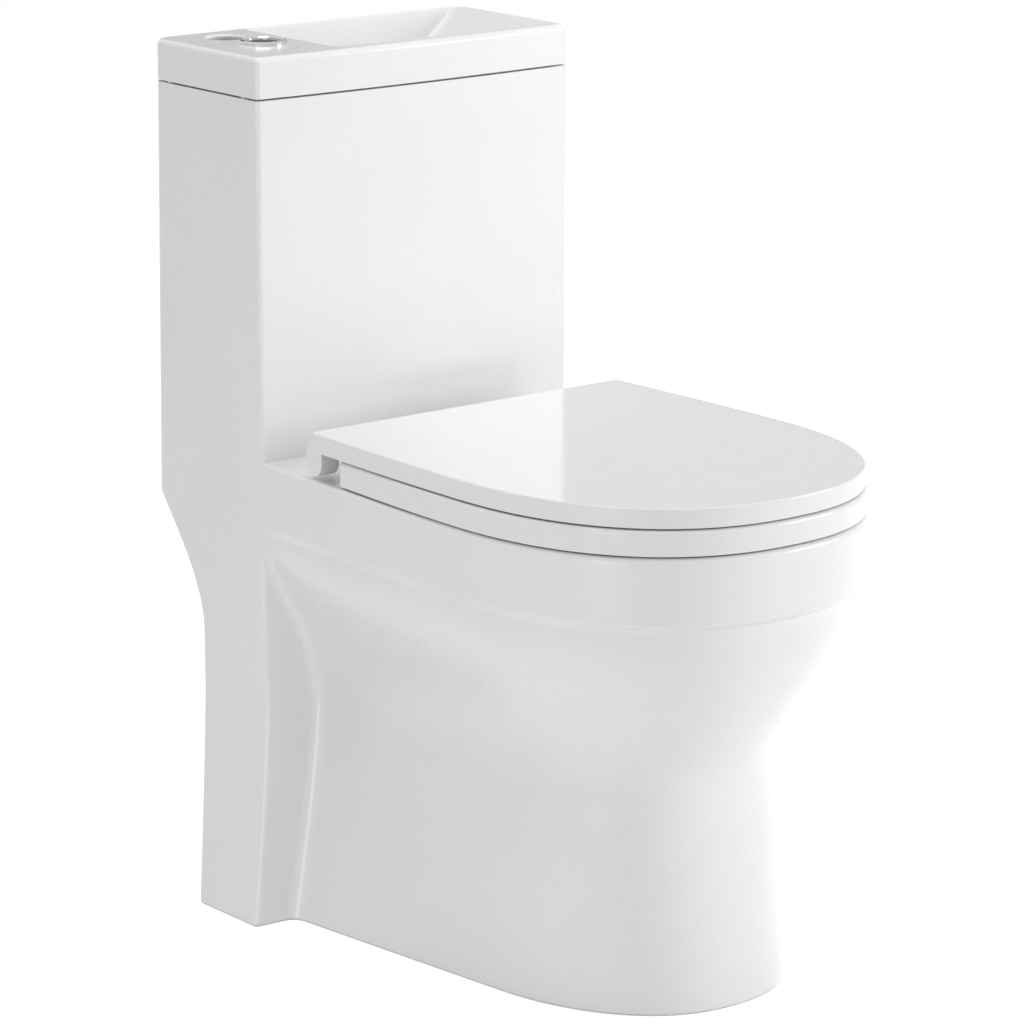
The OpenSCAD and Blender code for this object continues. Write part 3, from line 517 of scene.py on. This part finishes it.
def two_tones(nodes, links, value, dark, light):
    mixing = nodes.new("ShaderNodeMix")
    mixing.data_type = "RGBA"
    mixing.inputs["A"].default_value = (*dark, 1)
    mixing.inputs["B"].default_value = (*light, 1)
    links.new(value, mixing.inputs["Factor"])
    return mixing.outputs["Result"]


def bumped(nodes, links, value, strength, distance):
    bump = nodes.new("ShaderNodeBump")
    bump.inputs["Strength"].default_value = strength
    bump.inputs["Distance"].default_value = distance
    links.new(value, bump.inputs["Height"])
    return bump.outputs["Normal"]


def glazed_china(name, foot=False):
    """White glaze with a faint slackness, and a matte biscuit foot if the piece stands on it."""
    china = bpy.data.materials.new(name)
    nodes, links, surface = shader(china)
    slack = noise_of(nodes, links, 9, 1)
    pores = noise_of(nodes, links, 900, 2)
    cool_white, warm_white = (0.855, 0.86, 0.862), (0.875, 0.877, 0.874)
    tone = two_tones(nodes, links, ranged(nodes, links, slack, 0, 1), cool_white, warm_white)
    gloss = ranged(nodes, links, pores, 0.23, 0.29)
    if foot:
        place = nodes.new("ShaderNodeTexCoord")
        height = nodes.new("ShaderNodeSeparateXYZ")
        links.new(place.outputs["Object"], height.inputs["Vector"])
        glazed = ranged(nodes, links, height.outputs["Z"], 0, 1, 0.0016, 0.0028)
        tone_mix = nodes.new("ShaderNodeMix")
        tone_mix.data_type = "RGBA"
        biscuit, biscuit_gloss = (0.72, 0.69, 0.63, 1), 0.75
        tone_mix.inputs["A"].default_value = biscuit
        links.new(glazed, tone_mix.inputs["Factor"])
        links.new(tone, tone_mix.inputs["B"])
        tone = tone_mix.outputs["Result"]
        gloss_mix = nodes.new("ShaderNodeMix")
        gloss_mix.inputs["A"].default_value = biscuit_gloss
        links.new(glazed, gloss_mix.inputs["Factor"])
        links.new(gloss, gloss_mix.inputs["B"])
        gloss = gloss_mix.outputs["Result"]
    links.new(tone, surface.inputs["Base Color"])
    links.new(gloss, surface.inputs["Roughness"])
    links.new(bumped(nodes, links, slack, 0.25, 0.0006), surface.inputs["Normal"])
    surface.inputs["IOR"].default_value = 1.5
    surface.inputs["Coat Weight"].default_value = 0.08
    surface.inputs["Coat Roughness"].default_value = 0.06
    return china


casting.name = "casting"
casting.data.materials.clear()
casting.data.materials.append(glazed_china("glazed china with biscuit foot", foot=True))
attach(casting, "pan")
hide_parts("pan_body")

# The flush valve stands over the hole in the cistern's floor. Its base, tower, tube and levers
# are moulded in white polypropylene, its head and floats in blue, and two plated bolts hold it.
def fitting_finish(name, dark, light, gloss, grain=400, relief=0.00002, metal=0):
    """A finish that varies a little between two tones and two roughnesses, with a fine relief."""
    finish = bpy.data.materials.new(name)
    nodes, links, surface = shader(finish)
    fleck = noise_of(nodes, links, grain, 3)
    tone = two_tones(nodes, links, ranged(nodes, links, fleck, 0, 1), dark, light)
    links.new(tone, surface.inputs["Base Color"])
    links.new(ranged(nodes, links, fleck, *gloss), surface.inputs["Roughness"])
    links.new(bumped(nodes, links, fleck, 0.4, relief), surface.inputs["Normal"])
    surface.inputs["Metallic"].default_value = metal
    return finish


def dress(finish, *nodes_to_dress):
    """Gives the frame's own solids a finish, and keeps their shapes."""
    for name in nodes_to_dress:
        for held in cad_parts[name].material_slots:
            held.material = finish


white_plastic = fitting_finish("white polypropylene", (0.78, 0.79, 0.78), (0.84, 0.84, 0.83),
                               (0.30, 0.42))
blue_plastic = fitting_finish("blue polypropylene", (0.07, 0.26, 0.50), (0.09, 0.31, 0.57),
                              (0.28, 0.40))
rubber = fitting_finish("black rubber", (0.016, 0.016, 0.017), (0.03, 0.03, 0.031),
                        (0.50, 0.68), 700, 0.00004)
plated_steel = fitting_finish("zinc-plated steel", (0.50, 0.51, 0.52), (0.62, 0.63, 0.64),
                              (0.24, 0.36), 300, 0.00001, 1)
dress(rubber, "flush_gasket", "flush_seal")
dress(white_plastic, "flush_base", "flush_tower", "overflow_tube", "full_lever", "half_lever")
dress(blue_plastic, "flush_head", "flush_float", "half_float")
dress(plated_steel, "flush_bolts")

# The fill valve stands in the cistern's rear pocket. Its threaded shank goes down through
# the floor to a nut, and a float on a link shuts it by way of a pivoted arm.
dress(white_plastic, "fill_body", "fill_nut", "fill_head", "fill_arm")
dress(rubber, "fill_washer")
dress(blue_plastic, "fill_cap", "fill_float", "inlet_filter")
dress(plated_steel, "fill_pivot", "fill_link")

# The seat's fittings: plates on the deck, held by bolts that draw a brass nut up against a
# rubber sleeve in the hole, posts clipped over them, and two slow-close hinge pins.
seat_plastic = fitting_finish("white urea resin", (0.855, 0.857, 0.858), (0.872, 0.873, 0.872),
                              (0.10, 0.14), 60, 0.00003)
grey_plastic = fitting_finish("grey acetal", (0.16, 0.165, 0.17), (0.20, 0.205, 0.21), (0.35, 0.48))
brass = fitting_finish("brass", (0.60, 0.44, 0.20), (0.68, 0.52, 0.26), (0.22, 0.34),
                       300, 0.00001, 1)
dress(grey_plastic, "hinge_plates", "ring_damper", "cover_damper")
dress(seat_plastic, "hinge_posts")
dress(plated_steel, "seat_bolts")
dress(rubber, "bolt_sleeves")
dress(brass, "sleeve_nuts")

# The seat ring is pressed from white urea resin: a rounded shell, hollow underneath, with
# two hinge lugs at the back and four round bosses for its buffers.
ring_h, ring_z = 22.5, rim_h + 1.5
ring_top = ring_z + ring_h
hinge_z, barrel_r, bore_r = rim_h + 19, 11, 5.05
seat_wall, seat_top_t = 3.6, 5
boss_r, boss_gap, socket_r = 10, 2.5, 3.5


def seat_outline(rear, side, front, back, corner, inset):
    """Plan of the seat: round back corners, nearly parallel sides and a round front."""
    rear, side, front, back = rear - inset, side - inset, front + inset, back - inset
    half = [(x, back) for x in steps(0, rear - corner, 8)]
    half += [(rear - corner * (1 - cos(a)), back - corner * (1 - sin(a)))
             for a in steps(pi / 2, 0, 8)[1:]]
    half += [(mix(rear, side, sin(pi / 2 * t)), mix(back - corner, shoulder_y, t))
             for t in steps(0, 1, 16)[1:]]
    for a in steps(0, pi / 2, 52)[1:]:
        half.append((side * max(0, cos(a)) ** front_power,
                     shoulder_y - (shoulder_y - front) * sin(a) ** front_power))
    half[-1] = (0, half[-1][1])
    return both_halves(half)


def rounded_edges(bottom_r, top_r, height, count=7):
    """Pairs of inset and height that round a slab's lower and upper edge."""
    angles = steps(0, pi / 2, count)
    lower = [(bottom_r * (1 - sin(a)), bottom_r * (1 - cos(a))) for a in angles]
    return lower + [(top_r * (1 - cos(a)), height - top_r * (1 - sin(a))) for a in angles]


def hinge_barrel(x0, x1, radius, side):
    return rod((side * x0, hinge_y, hinge_z), radius, side * (x1 - x0), axis=0)


def across(outline, x0, x1, side):
    return slab(outline, side * x0, side * x1)


# A seat's plan: half-width at the back and at the sides, front, back, rear corners
ring_plan = (rim_half - 8, rim_half - 1, front_y + 1, 62, 12)
ring_edge_low, ring_edge_top, ring_socket = 1.5, 4, 10
opening_half, opening_l, opening_edge = 115, 290, 5

# Where the hinge lugs begin and end, out from the middle, and where the bosses stand
ring_lug = (46, 63.4)
ring_pads = [(115, -285), (150, 22)]


def ring_opening(z, grow):
    return superellipse(z, opening_half + grow, -opening_l - grow, grow, 2.4, 112)


ring = loft("seat ring", [at_height(seat_outline(*ring_plan, inset), ring_z + z)
                          for inset, z in rounded_edges(ring_edge_low, ring_edge_top, ring_h)])
opening = [ring_opening(ring_z - 1, 0), ring_opening(ring_top - opening_edge, 0)]
opening += [ring_opening(ring_top - opening_edge * (1 - sin(a)) + 0.02 * (1 - cos(a)),
                         opening_edge * (1 - cos(a))) for a in steps(0, pi / 2, 7)[1:]]
underside = loft("underside", [at_height(seat_outline(*ring_plan, seat_wall), z)
                               for z in (ring_z - 1, ring_top - seat_top_t)])
cut(underside, loft("opening's wall", [ring_opening(z, seat_wall) for z in (ring_z - 2, ring_top)]))
cut(ring, loft("opening", opening), underside)
arm_root_y = 59
ring_arm = [(arm_root_y, ring_top - 12), (hinge_y, hinge_z - 7), (hinge_y, ring_top),
            (arm_root_y, ring_top - 0.5)]

# On each side: the hinge lug with its arm and bore, and the bosses with their sockets
for side in (1, -1):
    add(ring, hinge_barrel(*ring_lug, barrel_r, side), across(ring_arm, *ring_lug, side))
    add(ring, *[rod((side * x, y, ring_z + boss_gap), boss_r, ring_h - 2 * boss_gap)
                for x, y in ring_pads])
    cut(ring, hinge_barrel(ring_lug[0] - 1, ring_lug[1] + 1, bore_r, side))
    cut(ring, *[rod((side * x, y, ring_z - 0.5), socket_r, ring_socket + 0.5)
                for x, y in ring_pads])
smooth(ring)
ring.name = "seat_ring_shell"
ring.data.materials.clear()
ring.data.materials.append(seat_plastic)
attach(ring, "seat_ring")
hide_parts("seat_ring")

# The buffers under the ring and the cover are soft, milky rubber pads, each held by a stem
# that is pushed into its boss. The lid's four pads are of the same rubber, stuck on.
soft_pad = fitting_finish("milky soft pad", (0.62, 0.63, 0.62), (0.70, 0.70, 0.69),
                          (0.42, 0.55), 500, 0.00002)
dress(soft_pad, "ring_buffers", "cover_buffers", "lid_pads")

# The seat cover is a second pressed shell of the same resin, nearly as wide as the rim. Its
# rear ends come down beside the hinge in round-ended legs, and two lugs ride on the hinge pins.
cover_h = 17.5
cover_z = ring_top + 1.5
cover_top = cover_z + cover_h
cover_back, cover_edge_low, cover_edge, cover_socket = 101, 0.8, 1.5, 9
leg_y, leg_z, leg_r = 97, rim_h + 15.5, 12.5
cover_plan = (rim_half - 10, rim_half - 3.5, front_y + 2, cover_back, 6)
cover_lug = (91.6, 109)
cover_pads = [(117, -266), (148, -20)]
cover = loft("seat cover", [at_height(seat_outline(*cover_plan, inset), cover_z + z)
                            for inset, z in rounded_edges(cover_edge_low, cover_edge, cover_h)])
cut(cover, loft("underside", [at_height(seat_outline(*cover_plan, seat_wall), z)
                              for z in (cover_z - 1, cover_top - seat_top_t)]))
leg_x = cover_plan[0]
leg_in, leg_out = leg_x - 20, leg_x - 0.3


def leg_end(radius, sides=64):
    return [(leg_y + radius * cos(2 * pi * i / sides), leg_z + radius * sin(2 * pi * i / sides))
            for i in range(sides)]


leg_top = cover_top - cover_edge - 0.5
leg_web = [(leg_y - leg_r, leg_z), (leg_y - leg_r, leg_top),
           (cover_back - 0.5, leg_top), (leg_y + leg_r, leg_z)]
lug_web = [(hinge_y - 10, hinge_z + 3), (hinge_y + 6, hinge_z + 3),
           (hinge_y + 6, cover_top - 4), (hinge_y - 22, cover_top - 4)]
notch = [(cover_back - 6, cover_z - 1), (cover_back + 2, cover_z - 1),
         (cover_back + 2, hinge_z + 13), (cover_back - 6, hinge_z + 13)]

# On each side: the hollow leg, the hinge lug with its bore, the notch that clears the
# ring's lug and the posts, and the bosses with their sockets
for side in (1, -1):
    leg = across(leg_end(leg_r), leg_in, leg_out, side)
    add(leg, across(leg_web, leg_in, leg_out, side))
    cut(leg, across(leg_end(leg_r - seat_wall), leg_in - 1, leg_x - seat_wall, side))
    add(cover, leg, hinge_barrel(*cover_lug, barrel_r, side), across(lug_web, *cover_lug, side))
    add(cover, *[rod((side * x, y, cover_z + boss_gap), boss_r, cover_h - 2 * boss_gap)
                 for x, y in cover_pads])
    cut(cover, hinge_barrel(cover_lug[0] - 1, cover_lug[1] + 1, bore_r, side))
    cut(cover, across(notch, ring_lug[0] - 3.5, cover_lug[1] + 3.5, side))
    cut(cover, *[rod((side * x, y, cover_z - 0.5), socket_r, cover_socket + 0.5)
                 for x, y in cover_pads])
smooth(cover)
cover.name = "seat_cover_shell"
cover.data.materials.clear()
cover.data.materials.append(seat_plastic)
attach(cover, "seat_cover")
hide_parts("seat_cover")

# The cistern's lid is its own china casting, which rests loose on four pads. The basin
# is sunk in it, with a sloping right end, and it has holes for a tap and the button.
overall_h = lid_high.z
lid_z = tank_top + 1.5
lid_h = overall_h - lid_z
plate_t, lid_wall, shell_t, lid_edge_low, lid_edge_top = 10, 9, 8, 1, 5
basin_deep, basin_x0, basin_l, basin_slope, basin_round, lip_r = 68, -78, 250, 102, 14, 3
basin_floor = overall_h - basin_deep
tap_x, tap_y, tap_r, tap_round = -123, 303, 17.5, 3
button_x, button_y, button_hole_r = -118, 250, 20
waste_x, waste_y, waste_hole_r, waste_seat_r, waste_seat_deep = 0, 264, 22.5, 32, 1.5

# The basin's corner radius and its front wall's place, each at the floor and at the top, and
# its left and back walls, which lean out
basin_corner, basin_front, basin_left_lean = (20, 9), (204, 192), 12
basin_back, basin_back_lean, basin_back_flare = 315, 8, 14


def lid_outline(inset):
    half, y0, y1 = tank_half - inset, tank_front_y + inset, lid_back_y - inset
    points = [(x, y1) for x in steps(0, half - rear_corner_r, 8)]
    points += [(half - rear_corner_r * (1 - cos(a)), y1 - rear_corner_r * (1 - sin(a)))
               for a in steps(pi / 2, 0, 8)[1:]]
    points += [(half, y) for y in steps(y1 - rear_corner_r, y0 + corner_r, 10)[1:-1]]
    points += [(half - corner_r * (1 - cos(a)), y0 + corner_r * (1 - sin(a)))
               for a in steps(0, pi / 2, 8)]
    reach = half - corner_r
    points += [(x, y0 - tank_bow * (1 - (x / reach) ** 2)) for x in steps(reach, 0, 16)[1:]]
    return both_halves(points)


def basin_ring(inset, z):
    """A level of the basin: a rectangle with rounded corners, whose right end slopes."""
    t = (z - basin_floor) / basin_deep
    r = mix(*basin_corner, t) - inset
    x0 = mix(basin_x0 + basin_left_lean, basin_x0, t) + inset
    x1 = basin_x0 + basin_l - basin_slope * (1 - t) - inset
    y0 = mix(*basin_front, t) + inset
    y1 = basin_back + basin_back_lean * t + basin_back_flare * t * t - inset
    ring = []
    corners = [(x1 - r, y0 + r, 270), (x1 - r, y1 - r, 0),
               (x0 + r, y1 - r, 90), (x0 + r, y0 + r, 180)]
    for x, y, start in corners:
        ring += [(x + r * cos(a), y + r * sin(a), z)
                 for a in steps(radians(start), radians(start + 90), 10)]
    return ring


lid = loft("cistern lid", [at_height(lid_outline(inset), lid_z + z)
                           for inset, z in rounded_edges(lid_edge_low, lid_edge_top, lid_h)])
cut(lid, loft("lid's hollow", [at_height(lid_outline(lid_wall), z)
                               for z in (lid_z - 1, overall_h - plate_t)]))
add(lid, loft("basin's shell", [basin_ring(-shell_t, z)
                                for z in steps(basin_floor - shell_t, overall_h - plate_t + 1, 6)]))

# Three ribs reach down inside the cistern's walls and keep the lid in its place. Each is given
# by its two ends across the lid and by how far back it runs.
rib_front, rib_foot, rib_top = 190, tank_top - 11, overall_h - 8
for x0, x1, rib_back in ((-163, -157, 327), (157, 163, 327), (-163, -95, 196)):
    add(lid, slab([(rib_front, rib_foot), (rib_back, rib_foot), (rib_back, rib_top),
                   (rib_front, rib_top)], x0, x1))
basin = [basin_ring(basin_round * (1 - sin(a)), basin_floor + basin_round * (1 - cos(a)))
         for a in steps(0, pi / 2, 8)]
basin += [basin_ring(0, z) for z in steps(basin_floor + basin_round, overall_h - lip_r, 10)[1:]]
basin += [basin_ring(-lip_r * (1 - cos(a)), overall_h - lip_r * (1 - sin(a)) + 0.02 * sin(a))
          for a in steps(0, pi / 2, 7)[1:]]
tap_hole = [ring_about((tap_x, tap_y, overall_h - 20), tap_r, 2, 64)]
tap_hole += [ring_about((tap_x, tap_y, overall_h - tap_round * (1 - sin(a)) + 0.02 * sin(a)),
                        tap_r + tap_round * (1 - cos(a)), 2, 64) for a in steps(0, pi / 2, 7)]
cut(lid, loft("basin", basin), loft("tap hole", tap_hole),
    rod((button_x, button_y, overall_h - 20), button_hole_r, 30),
    rod((waste_x, waste_y, basin_floor - 20), waste_hole_r, 30),
    rod((waste_x, waste_y, basin_floor - waste_seat_deep), waste_seat_r, 5))
smooth(lid)
lid.name = "lid_with_basin"
lid.data.materials.clear()
lid.data.materials.append(glazed_china("glazed china"))
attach(lid, "lid")
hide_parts("cistern_lid")

# The basin's waste is a chromed brass grating, drawn down on a rubber gasket by a
# plastic nut, with a tailpipe that lets the water fall into the cistern.
chrome = fitting_finish("chrome plate", (0.55, 0.56, 0.58), (0.60, 0.61, 0.63), (0.03, 0.06),
                        120, 0.000005, 1)
dress(chrome, "basin_waste")
dress(rubber, "waste_gasket")
dress(white_plastic, "waste_nut", "waste_tailpipe")

# The flush button: a plastic housing clamped through the lid by a nut, a chrome bezel, and
# two chrome keys that each stand on a spring and press a rod of the flush valve.
dress(chrome, "button_bezel", "full_button", "half_button")
dress(white_plastic, "button_housing", "button_nut", "full_push_rod", "half_push_rod")
dress(plated_steel, "full_spring", "half_spring")

# The studio's surround is plain white to the camera and in reflections, which gives the white
# ground and what the chrome mirrors. To everything else it is one soft, weaker light.
def seen_directly(nodes, links):
    """1 for rays from the camera, in reflections and through glass, and 0 for other light."""
    path = nodes.new("ShaderNodeLightPath")
    seen = path.outputs["Is Camera Ray"]
    for kind in ("Is Glossy Ray", "Is Transmission Ray"):
        either = nodes.new("ShaderNodeMath")
        either.operation = "MAXIMUM"
        links.new(seen, either.inputs[0])
        links.new(path.outputs[kind], either.inputs[1])
        seen = either.outputs[0]
    return seen


soft_light, shown_white = 0.4, 1
world = bpy.data.worlds.new("studio")
bpy.context.scene.world = world
world.use_nodes = True
nodes, links = world.node_tree.nodes, world.node_tree.links
surround = nodes["Background"]
surround.inputs["Color"].default_value = (1, 1, 1, 1)
level = ranged(nodes, links, seen_directly(nodes, links), soft_light, shown_white, 0, 1)
links.new(level, surround.inputs["Strength"])

# The floor is a wide, pale, matte sheet. It glows only for the camera and in reflections, so
# that it shows white and still keeps the object's shadow.
floor_half, floor_glow = 30, 0.61


def matte_sheet(name, half_x, half_y):
    """A flat sheet about its own middle, and its material's nodes."""
    mesh = bpy.data.meshes.new(name)
    mesh.from_pydata([(-half_x, -half_y, 0), (half_x, -half_y, 0), (half_x, half_y, 0),
                      (-half_x, half_y, 0)], [], [(0, 1, 2, 3)])
    made = bpy.data.objects.new(name, mesh)
    bpy.context.scene.collection.objects.link(made)
    paint = bpy.data.materials.new(name)
    nodes, links, surface = shader(paint)
    surface.inputs["Roughness"].default_value = 0.9
    surface.inputs["Specular IOR Level"].default_value = 0
    made.data.materials.append(paint)
    return made, nodes, links, surface


floor, nodes, links, surface = matte_sheet("floor", floor_half, floor_half)
surface.inputs["Base Color"].default_value = (0.90, 0.90, 0.90, 1)
glow = nodes.new("ShaderNodeEmission")
level = ranged(nodes, links, seen_directly(nodes, links), 0, floor_glow, 0, 1)
links.new(level, glow.inputs["Strength"])
both = nodes.new("ShaderNodeAddShader")
links.new(surface.outputs["BSDF"], both.inputs[0])
links.new(glow.outputs["Emission"], both.inputs[1])
links.new(both.outputs["Shader"], nodes["Material Output"].inputs["Surface"])

# A grey card stands behind to the right, outside the picture, darker in its left part than in
# the rest. The lid's deck, the chrome and the right half of the cover mirror it.
card_half, card_place, card_faces = (0.95, 0.5), (1.35, 1.55, 1.22), (0, 0, 0.6)
card_dark, card_light, card_from, card_to = 0.26, 0.74, -0.40, -0.26


def turned(place, target):
    """The turn of a thing at a place whose front, its -Z side, looks at a target."""
    return (Vector(target) - Vector(place)).to_track_quat("-Z", "Y").to_euler()


card, nodes, links, surface = matte_sheet("grey card", *card_half)
# The card's face is its +Z side, so its -Z side looks away from the object.
card.location = card_place
card.rotation_euler = turned(card_faces, card_place)
card.visible_camera = False
card.visible_shadow = False
place = nodes.new("ShaderNodeTexCoord")
across_card = nodes.new("ShaderNodeSeparateXYZ")
links.new(place.outputs["Object"], across_card.inputs["Vector"])
grey = ranged(nodes, links, across_card.outputs["X"], card_dark, card_light, card_from, card_to)
links.new(grey, surface.inputs["Base Color"])


# Three soft lamps light the object: the key low at the right front, a broad one overhead,
# and a wide dim one at the left that lifts the column and the flank.
def lamp(name, place, aim, size, power, tall=None):
    light = bpy.data.lights.new(name, "AREA")
    light.shape, light.size, light.size_y, light.energy = "RECTANGLE", size, tall or size, power
    made = bpy.data.objects.new(name, light)
    made.location = place
    made.rotation_euler = turned(place, aim)
    made.visible_camera = False
    bpy.context.scene.collection.objects.link(made)


lamp("key", (2.85, -2.5, 1.3), (0, 0, 0.45), 1.6, 70)
lamp("top", (-0.2, 0, 3.4), (0, 0.1, 0.6), 1.8, 36)
lamp("left", (-2.75, -1.15, 0.5), (0, 0.1, 0.3), 1, 15, 1.2)

# The camera stands where the photograph was taken from: to the object's left front,
# a little above the lid, with a long lens.
camera = bpy.data.objects.new("camera", bpy.data.cameras.new("camera"))
camera_azimuth, camera_elevation = radians(-38.366), radians(14.071)
camera.location = (-2.5206, -3.1490, 1.4026)
camera.rotation_euler = (pi / 2 - camera_elevation, 0, camera_azimuth)
camera.data.sensor_width = 36
camera.data.lens = 161.66
bpy.context.scene.collection.objects.link(camera)
bpy.context.scene.camera = camera
bpy.context.scene.view_settings.view_transform = "Standard"
